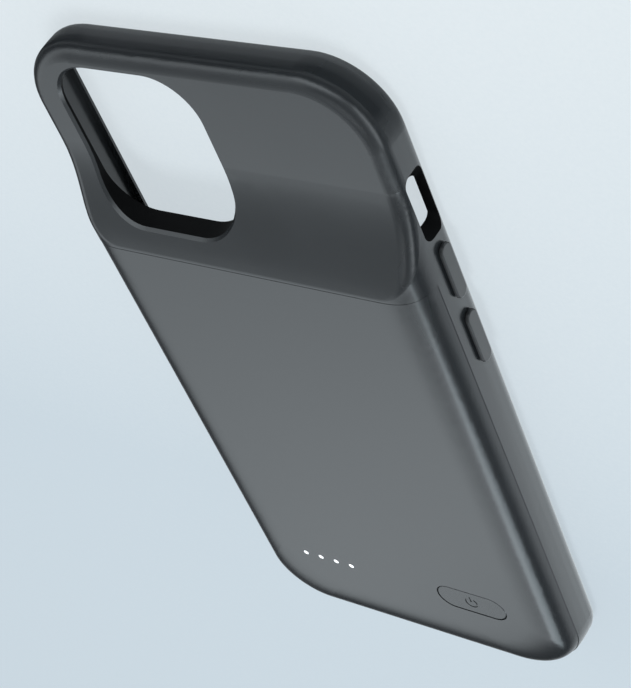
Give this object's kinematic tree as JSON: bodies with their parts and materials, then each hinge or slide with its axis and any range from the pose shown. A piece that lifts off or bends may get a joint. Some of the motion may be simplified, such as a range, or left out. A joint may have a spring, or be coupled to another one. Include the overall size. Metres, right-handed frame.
{
  "type": "battery charging case",
  "caption": "Slim phone case with a battery hump on its back, a scooped top end with a camera window, a power button and charge lights.",
  "frame": {"origin": "middle of the footprint, on the plane of the front rim", "axes": "+Z out of the back, +Y to the end with the camera window, +X to the side with the volume buttons"},
  "size_m": [0.0778, 0.157, 0.0143],
  "materials": {
    "soft_frame": "soft-touch matte",
    "hard_cover": "soft-touch matte",
    "button": "satin",
    "tray": "fine matte",
    "steel": "brushed",
    "gold": "polished",
    "board": "solder mask",
    "chip": "moulded",
    "ferrite": "sintered",
    "ceramic": "fired",
    "pouch": "foil",
    "tape": "film",
    "insulator": "moulded",
    "flex": "film",
    "lead_red": "smooth",
    "lead_black": "smooth",
    "white_plastic": "translucent"
  },
  "bodies": {
    "case": {"bumper_frame": "soft_frame", "battery_cover": "hard_cover", "inner_tray": "tray", "tray_screws": "steel", "battery_cell": "pouch", "battery_tape": "tape", "cell_protection_board": "board", "circuit_board": "board", "board_screws": "steel", "power_chips": "chip", "power_inductor": "ferrite", "ceramic_capacitors": "ceramic", "battery_connector": "white_plastic", "battery_lead_positive": "lead_red", "battery_lead_negative": "lead_black", "indicator_leds": "white_plastic", "led_light_guide": "white_plastic", "tact_switch_body": "insulator", "connector_block": "insulator", "charge_port_shell": "steel", "charge_port_tongue": "insulator", "plug_tab": "steel", "plug_contacts": "gold", "connector_flex": "flex"},
    "power_key": {"power_button": "button", "tact_switch_plunger": "insulator"},
    "volume_up_key": {"volume_up_button": "button"},
    "volume_down_key": {"volume_down_button": "button"},
    "lock_key": {"lock_button": "button"}
  },
  "joints": [
    {"name": "power_press", "type": "slide", "parent": "case", "child": "power_key", "axis": [0, 0, -1], "range_m": [0, 0.0003], "stiffness_N_per_m": 5000},
    {"name": "volume_up_press", "type": "slide", "parent": "case", "child": "volume_up_key", "axis": [-1, 0, 0], "range_m": [0, 0.0003], "stiffness_N_per_m": 5000},
    {"name": "volume_down_press", "type": "slide", "parent": "case", "child": "volume_down_key", "axis": [-1, 0, 0], "range_m": [0, 0.0003], "stiffness_N_per_m": 5000},
    {"name": "lock_press", "type": "slide", "parent": "case", "child": "lock_key", "axis": [1, 0, 0], "range_m": [0, 0.0003], "stiffness_N_per_m": 5000}
  ]
}
